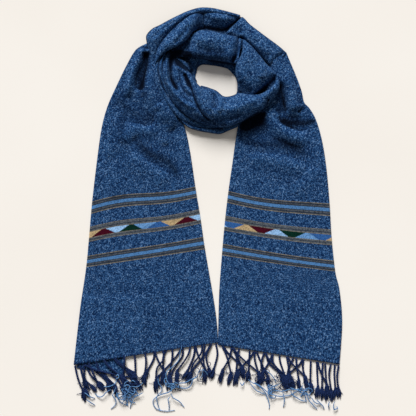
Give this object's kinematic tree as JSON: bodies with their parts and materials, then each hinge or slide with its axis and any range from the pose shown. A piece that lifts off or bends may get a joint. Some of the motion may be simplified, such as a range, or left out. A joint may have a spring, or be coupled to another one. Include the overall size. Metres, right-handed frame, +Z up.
{
  "type": "wool muffler",
  "caption": "Fringed woven wool muffler laid flat, wound once into a neck loop, with a striped band of triangles across each tail.",
  "frame": {"origin": "on the table, under the middle of the whole muffler's bounding box", "axes": "+Z up from the table, +Y from the two hems towards the neck loop, +X towards the right tail as seen from above with the loop at the top"},
  "size_m": [0.4699, 0.7102, 0.0341],
  "materials": {
    "wool_cloth": "heathered blue fulled plain weave, soft nap",
    "wool_cloth_shaded": "the same cloth where it lies under another layer",
    "fringe_yarn": "dark navy two-ply twisted wool yarn"
  },
  "bodies": {
    "root": {"left_tail": "wool_cloth", "right_tail": "wool_cloth", "right_shoulder_turn": "wool_cloth", "top_turn": "wool_cloth", "folded_edge_turn": "wool_cloth", "left_shoulder_turn": "wool_cloth", "inner_top_turn": "wool_cloth", "inner_right_turn": "wool_cloth", "throat_turn": "wool_cloth", "outer_pleat": "wool_cloth", "middle_pleat": "wool_cloth", "lower_turn": "wool_cloth_shaded", "left_tail_turned_selvedge": "wool_cloth_shaded", "left_fringe": "fringe_yarn", "turned_selvedge_fringe": "fringe_yarn", "right_fringe": "fringe_yarn"}
  },
  "joints": []
}
